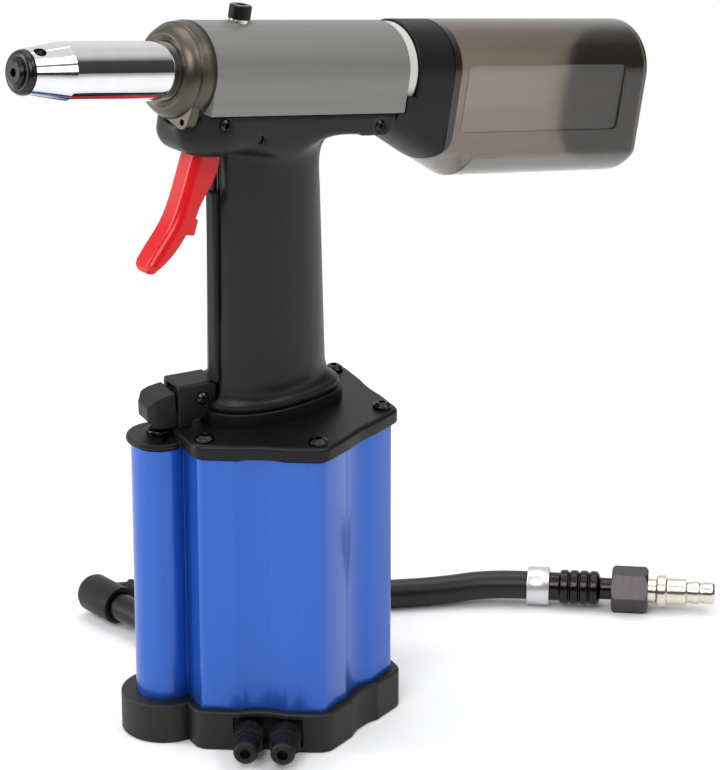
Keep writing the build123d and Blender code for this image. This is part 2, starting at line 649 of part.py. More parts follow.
def make_collector_adapter():
    """The adapter behind the head: its chin slopes down from the cradle to the bottle, hollow behind."""
    front = across_head(57.8, full_section(BOTTLE_HALF, -11.9, -24.9))
    rear = across_head(BOTTLE_FRONT - 0.2, bowed_section(BOTTLE_HALF, CHIN_CREASE, CHIN_REAR))
    body = loft([front, rear], ruled=True)
    room = Box(60, 60, 60, align=(Align.MAX, Align.CENTER, Align.MIN))
    body -= Pos(PLUG_REAR + 0.2, 0, -7.3) * room
    body -= Pos(HEAD_REAR + 0.2, 0, CRADLE_TOP - 0.2) * room
    body -= along_head(Circle(20.2), HEAD_REAR - 0.4, PLUG_REAR + 0.2)
    body -= along_head(Circle(TROUGH + 0.3), 40, HEAD_REAR + 0.3)
    body += along_head(horseshoe(BOTTLE_HALF - BOTTLE_WALL - 0.3, -33.5, 8.0), BOTTLE_FRONT - 4, 92)
    body -= along_head(horseshoe(BOTTLE_HALF - BOTTLE_WALL - 2.6, -30.5, 5.0), 79, 110)
    return HEAD * (body - along_head(Circle(6.6), 60, 90))


def bottle_body(inset, front, rear):
    """The bottle's section pulled along the head, with a front that goes on from the slope of the chin."""
    sections = []
    for crease, bottom in ((CHIN_CREASE, CHIN_REAR), (BOTTLE_CREASE, BOTTLE_FLOOR)):
        section = bowed_section(BOTTLE_HALF - inset, crease, bottom + inset)
        sections.append(fillet(section.vertices().sort_by(Axis.Y)[:2], BOTTLE_CORNER - inset))
    if front > SLOPE_END:
        return along_head(sections[1], front, rear)
    slope = loft([across_head(front, sections[0]), across_head(SLOPE_END, sections[1])], ruled=True)
    return slope + along_head(sections[1], SLOPE_END, rear)


def make_collector_bottle():
    """The see-through bottle: a moulded shell with a rounded end and a shallow panel on each side."""
    bottle = bottle_body(0.0, BOTTLE_FRONT, BOTTLE_REAR)
    bottle = fillet(bottle.faces().sort_by(Axis.X)[-1].edges(), 3.0)
    for side in (1, -1):
        panel = Pos(142.0, side * (BOTTLE_HALF + 4.2), -9.0) * Box(95.0, 10.0, 29.0)
        bottle -= fillet(panel.edges().filter_by(Axis.Y), 3.0)
    return HEAD * (bottle - bottle_body(BOTTLE_WALL, BOTTLE_FRONT - 0.4, BOTTLE_REAR - BOTTLE_WALL))


def make_collector_pad():
    """The soft pad that stops flying mandrels at the back of the bottle."""
    return HEAD * bottle_body(BOTTLE_WALL + 0.4, PAD_FRONT, BOTTLE_REAR - BOTTLE_WALL - 0.4)


# Air line: inlet, hose and coupling

def make_inlet_stub():
    """The pipe from the base cap to the elbow."""
    stub = turned(Axis.X, (24, 2.8), (24, 4.2), (48, 4.2), (48, 6.4), (104.8, 6.4), (104.8, 2.8))
    return Pos(INLET_X, 0, INLET_Z) * Rot(0, 0, 90) * stub


def make_inlet_elbow():
    """The closed elbow at the end of the stub, with a swept branch for the hose."""
    sleeve = turned(Axis.X, (102.8, 6.5), (102.8, 8.2), (103.3, 8.7), (122.6, 8.7), (125.2, 7.4),
                    (126.2, 5.0), (126.2, 0), (104.9, 0), (104.9, 6.5))
    elbow = Pos(INLET_X, 0, INLET_Z) * Rot(0, 0, 90) * sleeve
    start = Vector(*HOSE_ROUTE[0])
    branch = turned(Axis.Z, (0, 0), (7.0, 0), (7.0, 2.5), (6.0, 2.5), (6.0, 11.0), (0, 11.0))
    return elbow + Plane(origin=start, z_dir=start - Vector(*HOSE_ROUTE[1])) * branch


def hose_path():
    """Straight runs with a tangent arc at every bend, each as wide as its shorter neighbour allows."""
    points = [Vector(*point) for point in HOSE_ROUTE]
    radii = []
    for before, here, after in zip(points, points[1:], points[2:]):
        run = min((here - before).length, (after - here).length)
        half_turn = radians((here - before).get_angle(after - here)) / 2
        radii.append(0.45 * run * cos(half_turn) / sin(half_turn))
    print("hose bend radii", [round(radius, 1) for radius in radii])
    return FilletPolyline(*points, radius=radii)


def make_hose():
    """The air hose along its route on the floor."""
    path = hose_path()
    hose = sweep(Plane(origin=path @ 0, z_dir=path % 0) * Circle(HOSE_RADIUS), path)
    print("hose length", round(path.length, 2), "volume", round(hose.volume), "expected",
          round(path.length * 3.14159265 * HOSE_RADIUS**2))
    return hose


def line_plane(distance):
    """A plane across the coupling's axis, at a distance beyond the end of the hose."""
    end = Vector(*HOSE_ROUTE[-1])
    along = (end - Vector(*HOSE_ROUTE[-2])).normalized()
    return Plane(origin=end + along * distance, x_dir=(-along.Y, along.X, 0), z_dir=along)


def make_hose_ferrule():
    """The crimped ferrule at the end of the hose."""
    ferrule = turned(Axis.Z, (0, 0), (8.5, 0), (8.9, 0.6), (8.9, 2.0), (7.6, 3.2), (7.6, 7.4), (8.6, 8.4),
                     (8.6, 10.6), (7.6, 11.4), (0, 11.4))
    return line_plane(0.0) * ferrule


def make_hose_tail():
    """The ribbed tail between ferrule and coupling."""
    points = [(0, 0), (6.2, 0)]
    for rib in range(4):
        low = 1.0 + 5.2 * rib
        points += [(6.2, low), (7.4, low + 0.8), (7.4, low + 3.4), (6.2, low + 4.2)]
    points += [(6.2, 22.6), (5.2, 23.4), (5.2, 27.4), (0, 27.4)]
    return line_plane(11.4) * turned(Axis.Z, *points)


def make_coupling_nut():
    """The hexagon nut of the coupling."""
    nut = extrude(RegularPolygon(9.4, 6, major_radius=False), 16.6)
    nut &= turned(Axis.Z, (0, 0), (9.6, 0), (10.9, 1.2), (10.9, 15.2), (9.4, 16.6), (0, 16.6))
    return line_plane(38.8) * nut


def make_quick_plug():
    """The nipple that snaps into the air supply, with its locking groove and a through bore."""
    return line_plane(55.4) * turned(Axis.Z, (2.8, 0), (6.6, 0), (6.6, 3.0), (5.2, 4.4), (5.2, 9.0),
                                     (6.2, 10.4), (6.2, 15.0), (4.2, 17.0), (4.2, 20.4), (5.4, 21.8),
                                     (5.4, 28.4), (4.4, 30.6), (2.8, 30.6))


# Every node is written to its own file

NODES = {
    "rubber_boot": make_rubber_boot(),
    "base_cap": make_base_cap(),
    "base_screws": make_base_screws(),
    "base_gasket": make_gasket(CAP_TOP),
    "air_cylinder": make_air_cylinder(),
    "top_gasket": make_gasket(PLATE_BOTTOM - GASKET),
    "top_plate": make_top_plate(),
    "plate_screws": make_plate_screws(),
    "silencers": make_silencers(),
    "air_piston": make_air_piston(),
    "air_piston_seal": make_air_piston_seal(),
    "ram_rod": make_ram_rod(),
    "ram_bush": make_ram_bush(),
    "ram_seal": make_ram_seal(),
    "valve_spool": make_valve_spool(),
    "valve_spring": make_valve_spring(),
    "valve_gland": make_valve_gland(),
    "handle": make_handle(),
    "cradle_screws": make_cradle_screws(),
    "rod_cover": make_rod_cover(),
    "trigger": make_trigger(),
    "trigger_pin": make_trigger_pin(),
    "trigger_rod": make_trigger_rod(),
    "trigger_spring": make_trigger_spring(),
    "valve_lever": make_valve_lever(),
    "lever_bracket": make_lever_bracket(),
    "lever_screw": make_lever_screw(),
    "head_cylinder": make_head_cylinder(),
    "bleed_screw": make_bleed_screw(),
    "bleed_washer": make_bleed_washer(),
    "head_seal": make_head_seal(),
    "lock_ring": make_lock_ring(),
    "nose_housing": make_nose_housing(),
    "nosepiece": make_nosepiece(),
    "pull_piston": make_pull_piston(),
    "pull_piston_seal": make_pull_piston_seal(),
    "return_spring": make_return_spring(),
    "rear_plug": make_rear_plug(),
    "mandrel_tube": make_mandrel_tube(),
    "jaw_case": make_jaw_case(),
    "jaws": make_jaws(),
    "jaw_pusher": make_jaw_pusher(),
    "jaw_spring": make_jaw_spring(),
    "collector_adapter": make_collector_adapter(),
    "collector_bottle": make_collector_bottle(),
    "collector_pad": make_collector_pad(),
    "inlet_stub": make_inlet_stub(),
    "inlet_elbow": make_inlet_elbow(),
    "hose": make_hose(),
    "hose_ferrule": make_hose_ferrule(),
    "hose_tail": make_hose_tail(),
    "coupling_nut": make_coupling_nut(),
    "quick_plug": make_quick_plug(),
}

os.makedirs("parts", exist_ok=True)
for name, shape in NODES.items():
    export_step(shape, f"parts/{name}.step")
    print(name, len(shape.solids()), "solids", round(shape.volume), "mm3")
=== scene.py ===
# %% [markdown]
# # A pneumatic riveting tool
# The solids of the tool come packed from the CAD step, already at their real size and place. This lesson
# gives them their finish: soft edges, cast, moulded and turned surfaces, a hose on a smooth line, a plain
# studio and a camera where the photographer stood. Every length is in metres, in the frame of the CAD
# model: Z is up and the nose points towards -X.

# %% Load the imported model
import json
from math import hypot, pi, radians

import bmesh
import bpy
from mathutils import Matrix, Vector

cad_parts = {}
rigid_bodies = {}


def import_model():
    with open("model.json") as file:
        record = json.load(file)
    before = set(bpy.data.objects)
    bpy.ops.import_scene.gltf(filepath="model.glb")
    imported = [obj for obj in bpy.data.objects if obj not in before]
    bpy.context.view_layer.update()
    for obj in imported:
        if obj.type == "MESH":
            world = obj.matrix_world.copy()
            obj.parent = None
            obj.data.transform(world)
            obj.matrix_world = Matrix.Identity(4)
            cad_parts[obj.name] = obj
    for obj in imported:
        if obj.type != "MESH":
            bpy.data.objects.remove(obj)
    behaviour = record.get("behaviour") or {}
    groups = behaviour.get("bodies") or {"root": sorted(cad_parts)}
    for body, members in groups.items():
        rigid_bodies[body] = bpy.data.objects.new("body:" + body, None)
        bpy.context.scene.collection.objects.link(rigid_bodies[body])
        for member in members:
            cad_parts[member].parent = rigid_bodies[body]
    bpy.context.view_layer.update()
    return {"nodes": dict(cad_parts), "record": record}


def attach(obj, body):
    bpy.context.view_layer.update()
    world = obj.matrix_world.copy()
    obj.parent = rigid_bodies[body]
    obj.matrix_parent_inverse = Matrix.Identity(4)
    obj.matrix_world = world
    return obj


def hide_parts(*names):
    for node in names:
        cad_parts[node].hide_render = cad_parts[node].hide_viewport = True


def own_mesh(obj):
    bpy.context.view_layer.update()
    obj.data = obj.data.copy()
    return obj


for left_over in list(bpy.data.objects):
    bpy.data.objects.remove(left_over)
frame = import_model()

# %% [markdown]
# ## Camera
# A long lens far away keeps the upright edges of the air cylinder parallel, as a product photographer
# does. The place, target and lens were worked out from straight edges and circles of the tool, so the
# render can be laid over the photo.

# %% Camera
CAMERA_PLACE = Vector((-0.9635, -1.1695, 0.7634))
CAMERA_TARGET = Vector((0.03195, -0.0210, 0.14703))
LENS_MM = 180.5

camera_data = bpy.data.cameras.new("camera")
camera_data.lens = LENS_MM
camera_data.sensor_width = 36.0
camera_data.clip_start = 0.05
camera = bpy.data.objects.new("camera", camera_data)
camera.location = CAMERA_PLACE
camera.rotation_euler = (CAMERA_TARGET - CAMERA_PLACE).to_track_quat("-Z", "Y").to_euler()
bpy.context.scene.collection.objects.link(camera)
bpy.context.scene.camera = camera
bpy.context.scene.view_settings.view_transform = "Standard"
print("camera stands", round((CAMERA_TARGET - CAMERA_PLACE).length, 3), "m away")

# %% [markdown]
# ## Helpers for materials
# Colours are written as the sRGB hex values that a colour picker shows. Blender's shaders add up light,
# so they need linear values, and one function does the change. A second function adds a node: it sets the
# node's options, then fills each socket with a constant or with a link.

# %% Colour and node helpers
def linear(hex_colour):
    """An sRGB hex colour as the linear RGBA that shaders use."""
    values = [int(hex_colour[place:place + 2], 16) / 255 for place in (1, 3, 5)]
    return [v / 12.92 if v <= 0.04045 else ((v + 0.055) / 1.055) ** 2.4 for v in values] + [1.0]


def add_node(tree, kind, sockets=None, **options):
    """A new node with its options set and its sockets filled with constants or links."""
    node = tree.nodes.new(kind)
    for name, value in options.items():
        setattr(node, name, value)
    for name, value in (sockets or {}).items():
        if isinstance(value, bpy.types.NodeSocket):
            tree.links.new(value, node.inputs[name])
        else:
            node.inputs[name].default_value = value
    return node


print("white in linear light:", [round(v, 3) for v in linear("#ffffff")])

# %% [markdown]
# A finish starts from one Principled shader and the Object coordinates, which lie in the same frame as
# the tool. Two patterns then lie on it: a slow one picks the colour and the gloss between two ends, so
# that no surface is one flat colour, and a fine one raises a relief. What the patterns are differs from
# finish to finish.

# %% Helpers for a finish
FINISHES = {}
FIRST_COLOUR, SECOND_COLOUR, MIXED_COLOUR = 6, 7, 2
RELIEF_MM = 0.1


def new_finish(slot, name, constants=None):
    """A material with one Principled shader, and its tree, shader and Object coordinates to build on."""
    material = bpy.data.materials.new(name)
    material.use_nodes = True
    tree = material.node_tree
    shader = tree.nodes["Principled BSDF"]
    for socket, value in (constants or {}).items():
        shader.inputs[socket].default_value = value
    FINISHES[slot] = material
    return tree, shader, add_node(tree, "ShaderNodeTexCoord").outputs["Object"]


def lay_patterns(tree, shader, tone, grain, colours, roughness, relief):
    """Let the tone pick colour and roughness between their ends, and let the grain stand out as a relief."""
    ends = {0: tone, FIRST_COLOUR: linear(colours[0]), SECOND_COLOUR: linear(colours[1])}
    colour = add_node(tree, "ShaderNodeMix", ends, data_type="RGBA")
    gloss = add_node(tree, "ShaderNodeMapRange",
                     {"Value": tone, "To Min": roughness[0], "To Max": roughness[1]})
    raised = add_node(tree, "ShaderNodeBump",
                      {"Height": grain, "Strength": relief, "Distance": RELIEF_MM / 1000})
    tree.links.new(colour.outputs[MIXED_COLOUR], shader.inputs["Base Color"])
    tree.links.new(gloss.outputs["Result"], shader.inputs["Roughness"])
    tree.links.new(raised.outputs["Normal"], shader.inputs["Normal"])


print("finishes are named after the record's slots")

# %% [markdown]
# ## Studio floor
# The tool stands on a plain white floor. Near the tool the floor is lit paper that takes the soft shadow.
# Further away it fades to pure white for the camera and for what is seen through the bottle, as in a
# product photo, and it sends no more light at the tool than the paper does.

# %% Floor
FLOOR_HALF = 6.0
FADE_START = 0.22
FADE_END = 0.75

shape = bmesh.new()
bmesh.ops.create_grid(shape, x_segments=1, y_segments=1, size=FLOOR_HALF)
floor_mesh = bpy.data.meshes.new("floor")
shape.to_mesh(floor_mesh)
shape.free()
floor = bpy.data.objects.new("floor", floor_mesh)
bpy.context.scene.collection.objects.link(floor)
tree, shader, place = new_finish("floor", "seamless paper",
                                 {"Roughness": 0.9, "Base Color": linear("#f8f8f8")})
away = add_node(tree, "ShaderNodeVectorMath", {0: place}, operation="LENGTH").outputs["Value"]
paling = add_node(tree, "ShaderNodeMapRange", {"Value": away, "From Min": FADE_START, "From Max": FADE_END},
                  interpolation_type="SMOOTHSTEP").outputs["Result"]
path = add_node(tree, "ShaderNodeLightPath")
seen = add_node(tree, "ShaderNodeMath",
                {0: path.outputs["Is Camera Ray"], 1: path.outputs["Is Transmission Ray"]},
                operation="MAXIMUM").outputs[0]
share = add_node(tree, "ShaderNodeMath", {0: seen, 1: paling}, operation="MULTIPLY").outputs[0]
white = add_node(tree, "ShaderNodeEmission", {"Color": (1, 1, 1, 1), "Strength": 1.0}).outputs[0]
both = add_node(tree, "ShaderNodeMixShader", {0: share, 1: shader.outputs[0], 2: white}).outputs[0]
tree.links.new(both, tree.nodes["Material Output"].inputs["Surface"])
floor_mesh.materials.append(FINISHES["floor"])
print("floor", 2 * FLOOR_HALF, "m wide, white from", FADE_END, "m out")

# %% [markdown]
# ## Studio light
# Polished metal shows only what stands around it. A studio is dark near the horizon on the side of the
# camera and the photographer, bright above, where the tent hangs, and bright behind, where the white
# backdrop stands. So the world is an even soft light for matt surfaces, a dark-to-bright gradient with a
# bright back for mirror-like ones, and white where the camera looks past the tool.

# %% World
AMBIENT = 0.50
# Height of a direction (the sine of its elevation) and how bright the studio is there.
STUDIO_GRADIENT = [(0.0, 0.05), (0.48, 0.07), (0.64, 0.80), (0.90, 1.0)]
# How far back a direction has to point (its Y) for the backdrop to begin, and to be full.
BACKDROP_FROM, BACKDROP_FULL = 0.0, 0.45
BACKDROP_LEVEL = 0.92

world = bpy.data.worlds.new("studio")
world.use_nodes = True
bpy.context.scene.world = world
tree = world.node_tree
tree.nodes.clear()
direction = add_node(tree, "ShaderNodeTexCoord").outputs["Generated"]
parts = add_node(tree, "ShaderNodeSeparateXYZ", {"Vector": direction})
gradient = add_node(tree, "ShaderNodeValToRGB", {"Fac": parts.outputs["Z"]})
while len(gradient.color_ramp.elements) < len(STUDIO_GRADIENT):
    gradient.color_ramp.elements.new(1.0)
for stop, (position, level) in zip(gradient.color_ramp.elements, STUDIO_GRADIENT):
    stop.position = position
    stop.color = (level, level, level, 1)
behind = add_node(tree, "ShaderNodeMapRange",
                  {"Value": parts.outputs["Y"], "From Min": BACKDROP_FROM, "From Max": BACKDROP_FULL},
                  interpolation_type="SMOOTHSTEP")
around = add_node(tree, "ShaderNodeMix",
                  {0: behind.outputs["Result"], FIRST_COLOUR: gradient.outputs["Color"],
                   SECOND_COLOUR: (BACKDROP_LEVEL, BACKDROP_LEVEL, BACKDROP_LEVEL, 1)}, data_type="RGBA")
path = add_node(tree, "ShaderNodeLightPath")
soft = add_node(tree, "ShaderNodeBackground", {"Color": (1, 1, 1, 1), "Strength": AMBIENT})
mirrored = add_node(tree, "ShaderNodeBackground", {"Color": around.outputs[MIXED_COLOUR], "Strength": 1.0})
clear = add_node(tree, "ShaderNodeBackground", {"Color": (1, 1, 1, 1), "Strength": 1.0})
lit = add_node(tree, "ShaderNodeMixShader",
               {0: path.outputs["Is Glossy Ray"], 1: soft.outputs[0], 2: mirrored.outputs[0]})
seen = add_node(tree, "ShaderNodeMath",
                {0: path.outputs["Is Camera Ray"], 1: path.outputs["Is Transmission Ray"]},
                operation="MAXIMUM")
whole = add_node(tree, "ShaderNodeMixShader", {0: seen.outputs[0], 1: lit.outputs[0], 2: clear.outputs[0]})
add_node(tree, "ShaderNodeOutputWorld", {"Surface": whole.outputs[0]})
print("world ambient", AMBIENT)

# %% [markdown]
# The lamps are area lamps as large as real softboxes, because the size of a lamp sets how soft a shadow
# is and how wide a highlight. All of them point at the middle of the tool: a key and a fill stand in
# front, one hangs above, and two narrow strips draw bright lines along round surfaces.

# %% Lamps
LIT_POINT = Vector((0.0, 0.0, 0.16))
# Place, width and height in metres, and power in watts.
LAMPS = {
    "key softbox": ((-1.25, -0.75, 1.45), 0.9, 0.9, 16.0),
    "fill softbox": ((0.55, -1.00, 1.60), 1.0, 0.7, 9.0),
    "top softbox": ((0.15, 0.35, 1.60), 1.1, 1.1, 10.0),
    "left strip": ((-0.95, 0.75, 0.55), 0.25, 1.1, 8.0),
    "front strip": ((0.42, -1.12, 0.72), 0.30, 0.46, 1.3),
}
for name, (place, width, tall, watts) in LAMPS.items():
    lamp_data = bpy.data.lights.new(name, "AREA")
    lamp_data.shape = "RECTANGLE"
    lamp_data.size = width
    lamp_data.size_y = tall
    lamp_data.energy = watts
    lamp = bpy.data.objects.new(name, lamp_data)
    lamp.location = place
    lamp.rotation_euler = (LIT_POINT - Vector(place)).to_track_quat("-Z", "Y").to_euler()
    bpy.context.scene.collection.objects.link(lamp)
    print(name, watts, "W")

# %% [markdown]
# ## Blue anodised cylinder
# The air cylinder is an aluminium extrusion. The die leaves faint straight lines along it, and the blue
# is a dye in the clear oxide skin, so light comes back coloured from the metal and white from the skin. A
# noise stretched along Z draws the lines. Real ones are about 0.3 mm apart, too fine for the render, so
# they are drawn coarser.

# %% Blue anodised aluminium
DIE_LINE_MM = 1.8
DIE_LINE_LENGTH_MM = 420.0

# A metal that glows in its own colour, with thin upright lines and a white edge where the skin is seen at
# a slant.
tree, shader, place = new_finish("blue_anodised", "blue anodised extruded aluminium",
                                 {"Metallic": 0.60, "Coat Weight": 0.4, "Coat Roughness": 0.10})
fine = 1000 / DIE_LINE_MM
drawn = add_node(tree, "ShaderNodeMapping",
                 {"Vector": place, "Scale": (fine, fine, 1000 / DIE_LINE_LENGTH_MM)})
lines = add_node(tree, "ShaderNodeTexNoise",
                 {"Vector": drawn.outputs[0], "Scale": 1.0, "Detail": 3.0}).outputs["Fac"]
lay_patterns(tree, shader, lines, lines, ("#1a50aa", "#225bb7"), (0.30, 0.40), 0.08)
print("die lines every", DIE_LINE_MM, "mm")

# %% [markdown]
# ## Coated castings
# The handle and the base cap are die-cast aluminium with a baked black coat, which has a slight orange
# peel and is a little duller in patches. The top plate is a separate casting with a black coat, drawn
# darker still: that extra dark is painted shade, so that its top, which the lamps above light, stays as
# dark as the shade and the dark reflection of the grip make it. Both are one recipe, so a loop makes them.

# %% Black coats
ORANGE_PEEL_MM = 1.4
PATCH_MM = 24.0
COATS = {
    # A soft black with a broad, slightly broken sheen.
    "black_casting": ("black baked coat on a casting", ("#131313", "#1b1b1a"), (0.33, 0.45), 0.25),
    # A deeper black that stays dark when it is seen from above.
    # A darker black: painted shade that keeps the lit top of the plate dark.
    "painted_shade_black_plate": ("black coat on the plate, darkened as painted shade", ("#090909", "#0f0f0f"), (0.35, 0.47), 0.23),
}
for slot, (name, colours, roughness, shine) in COATS.items():
    tree, shader, place = new_finish(slot, name, {"Specular IOR Level": shine})
    patches = add_node(tree, "ShaderNodeTexNoise", {"Vector": place, "Scale": 1000 / PATCH_MM, "Detail": 3.0})
    peel = add_node(tree, "ShaderNodeTexNoise",
                    {"Vector": place, "Scale": 1000 / ORANGE_PEEL_MM, "Detail": 2.0})
    lay_patterns(tree, shader, patches.outputs["Fac"], peel.outputs["Fac"], colours, roughness, 0.30)
    print(name, "with orange peel of", ORANGE_PEEL_MM, "mm")

# %% [markdown]
# ## Grey head
# The head cylinder is a grey hard coat on an extruded tube, so its faint streaks run along the head,
# which is raked: a Mapping node turns the pattern with it, and a second one stretches it.

# %% Grey hard coat
HEAD_RAKE = radians(11.1)
STREAK_MM = 2.4
STREAK_LENGTH_MM = 160.0

# A satin grey, half metal and half oxide, with streaks that are only just seen.
tree, shader, place = new_finish("grey_casting", "grey hard coat on extruded aluminium", {"Metallic": 0.35})
level = add_node(tree, "ShaderNodeMapping", {"Vector": place, "Rotation": (0, -HEAD_RAKE, 0)})
fine = 1000 / STREAK_MM
drawn = add_node(tree, "ShaderNodeMapping",
                 {"Vector": level.outputs[0], "Scale": (1000 / STREAK_LENGTH_MM, fine, fine)})
streaks = add_node(tree, "ShaderNodeTexNoise",
                   {"Vector": drawn.outputs[0], "Scale": 1.0, "Detail": 3.0}).outputs["Fac"]
lay_patterns(tree, shader, streaks, streaks, ("#706f6d", "#807f7d"), (0.38, 0.48), 0.08)
print("streaks", STREAK_MM, "mm apart")

# %% [markdown]
# ## Moulded plastics
# The adapter, lever, bracket and rod cover are black ABS from a spark-eroded mould, which leaves a fine
# even grain. The trigger is red ABS from a polished mould. The ring behind the head is white acetal,
# turned and satin. All three are one recipe with their own colours, grain and gloss, so a loop makes
# them. The real grain is about 0.1 mm, too fine for the render, so it is drawn coarser.

# %% ABS and acetal
# Each row: name, two colours, grain in mm, roughness from and to, how strongly the grain stands out, and
# the shine.
MOULDED = {
    # A dull black that still shows where the light comes from.
    "black_plastic": ("black spark-eroded ABS", ("#0e0e0e", "#151514"), 0.9, (0.40, 0.50), 0.28, 0.20),
    # A clear, strong red with a sharp highlight along each ridge.
    "red_plastic": ("red polished ABS", ("#bc0d13", "#c9161c"), 2.2, (0.17, 0.24), 0.04, 0.27),
    # A milky white with a broad sheen.
    "white_plastic": ("white turned acetal", ("#b6b6b1", "#c6c6c2"), 0.8, (0.34, 0.46), 0.15, 0.42),
}
for slot, (name, colours, grain_mm, roughness, relief, shine) in MOULDED.items():
    tree, shader, place = new_finish(slot, name, {"IOR": 1.53, "Specular IOR Level": shine})
    patches = add_node(tree, "ShaderNodeTexNoise", {"Vector": place, "Scale": 1000 / PATCH_MM, "Detail": 2.0})
    grain = add_node(tree, "ShaderNodeTexNoise", {"Vector": place, "Scale": 1000 / grain_mm, "Detail": 2.0})
    lay_patterns(tree, shader, patches.outputs["Fac"], grain.outputs["Fac"], colours, roughness, relief)
    print(name, "with grain of", grain_mm, "mm")

# %% [markdown]
# ## Smoke-grey bottle
# The collector bottle is moulded polycarbonate with a smoke tint. The tint is partly in the surface and
# partly in the wall: a Volume Absorption takes more light the further it travels, so the wall is darker
# where it is seen edge on. A slow waviness from the mould bends what is seen through.

# %% Smoke polycarbonate
WAVE_MM = 18.0
SMOKE_PER_METRE = 480.0

# A see-through brown-grey, a little hazy, so that what lies deeper inside is softer.
tree, shader, place = new_finish("smoke_plastic", "smoke-tinted moulded polycarbonate",
                                 {"Transmission Weight": 1.0, "IOR": 1.58, "Specular IOR Level": 0.4})
wave = add_node(tree, "ShaderNodeTexNoise",
                {"Vector": place, "Scale": 1000 / WAVE_MM, "Detail": 1.0}).outputs["Fac"]
lay_patterns(tree, shader, wave, wave, ("#d2cdc6", "#dcd7d0"), (0.14, 0.20), 0.20)
smoke = add_node(tree, "ShaderNodeVolumeAbsorption", {"Color": linear("#c4bcb4"), "Density": SMOKE_PER_METRE})
tree.links.new(smoke.outputs["Volume"], tree.nodes["Material Output"].inputs["Volume"])
print("bottle waviness", WAVE_MM, "mm")

# %% [markdown]
# ## Rubber and felt
# The boot and the seals are moulded nitrile rubber: matt, a little dusty, with a soft grain. The hose has
# a smoother cover. The pad in the bottle is dense felt, nothing but short fibres, so it has no shine.

# %% Rubber and felt
SOFT_GOODS = {
    # A deep matt black, greyer where dust sits.
    "black_rubber": ("moulded nitrile rubber", ("#0d0d0d", "#151514"), 1.1, (0.46, 0.60), 0.45),
    # A black with a long soft highlight.
    "hose_rubber": ("extruded rubber hose cover", ("#0f0f0f", "#171717"), 1.8, (0.34, 0.46), 0.15),
    # A dark fuzzy grey with no shine at all.
    "pad_foam": ("dense needled felt", ("#0c0b0a", "#181715"), 0.9, (0.85, 0.98), 0.4),
}
for slot, (name, colours, grain_mm, roughness, relief) in SOFT_GOODS.items():
    tree, shader, place = new_finish(slot, name, {"IOR": 1.52, "Specular IOR Level": 0.34})
    dust = add_node(tree, "ShaderNodeTexNoise", {"Vector": place, "Scale": 1000 / PATCH_MM, "Detail": 4.0})
    grain = add_node(tree, "ShaderNodeTexNoise", {"Vector": place, "Scale": 1000 / grain_mm, "Detail": 4.0})
    lay_patterns(tree, shader, dust.outputs["Fac"], grain.outputs["Fac"], colours, roughness, relief)
    print(name, "with grain of", grain_mm, "mm")

# %% [markdown]
# ## Metals
# Bare and plated metals differ in colour and in how they were cut. A lathe leaves fine rings round the
# axis of the piece, so the pattern is a noise that changes along that axis only. A Mapping node turns the
# axis onto X: the head's axis, the plug's axis on the floor, or upright. Chrome is polished, and only a
# faint haze is left on it.

# %% Turned, plated and blackened metals
HEAD_AXIS = (0.0, -HEAD_RAKE, 0.0)
PLUG_AXIS = (0.0, 0.0, radians(47.04))
UPRIGHT = (0.0, radians(90), 0.0)
ACROSS_MM = 50.0
METALS = {
    # A mirror that shows the studio as white and dark bands.
    "chrome": ("polished chrome plate", HEAD_AXIS, ("#d6d7da", "#e4e5e7"), 6.0, (0.04, 0.08), 0.02),
    # A dark brown-grey with rings that catch the light.
    "gunmetal": ("brown phosphated steel", HEAD_AXIS, ("#47433c", "#605b52"), 1.6, (0.30, 0.42), 0.10),
    # The same bath on finer steel, colder and darker.
    "nut_steel": ("dark phosphated steel", PLUG_AXIS, ("#464143", "#5b5557"), 1.8, (0.28, 0.40), 0.10),
    # Blackened steel with small sharp glints on every rib.
    "tail_steel": ("blackened turned steel", PLUG_AXIS, ("#2a2628", "#3a3537"), 1.6, (0.16, 0.26), 0.06),
    # A soft silver white, crimped and not polished.
    "ferrule_silver": ("crimped aluminium", PLUG_AXIS, ("#c4c5c6", "#d8d8d8"), 1.6, (0.32, 0.42), 0.06),
    # A warm nickel white with sharp rings.
    "bright_steel": ("nickel-plated turned steel", PLUG_AXIS, ("#cbc5b5", "#e4e0d4"), 1.4, (0.14, 0.26),
                     0.10),
    # Near black, with small hard glints on the edges.
    "black_steel": ("black oxide steel", UPRIGHT, ("#2b2b2a", "#3b3b39"), 1.5, (0.20, 0.32), 0.08),
    # A dull yellow with rings.
    "brass": ("turned brass", HEAD_AXIS, ("#9d8040", "#b99a56"), 1.4, (0.22, 0.34), 0.10),
    # A pale cool grey with rings.
    "aluminium": ("turned aluminium", HEAD_AXIS, ("#b9bdc0", "#d0d3d5"), 1.4, (0.24, 0.36), 0.10),
}
for slot, (name, axis, colours, ring_mm, roughness, relief) in METALS.items():
    tree, shader, place = new_finish(slot, name, {"Metallic": 1.0})
    turned = add_node(tree, "ShaderNodeMapping", {"Vector": place, "Rotation": axis})
    stretch = (1000 / ring_mm, 1000 / ACROSS_MM, 1000 / ACROSS_MM)
    cut = add_node(tree, "ShaderNodeMapping", {"Vector": turned.outputs[0], "Scale": stretch})
    rings = add_node(tree, "ShaderNodeTexNoise",
                     {"Vector": cut.outputs[0], "Scale": 1.0, "Detail": 3.0}).outputs["Fac"]
    lay_patterns(tree, shader, rings, rings, colours, roughness, relief)
    print(name, "with rings every", ring_mm, "mm")

# %% [markdown]
# ## Soft edges
# A solid from CAD has edges as sharp as a knife, and real edges are not: they are broken, moulded or cast
# with a small round that catches the light. A second one copies the CAD node's own shape first: loose
# triangles are merged and flat ones are joined into single faces.

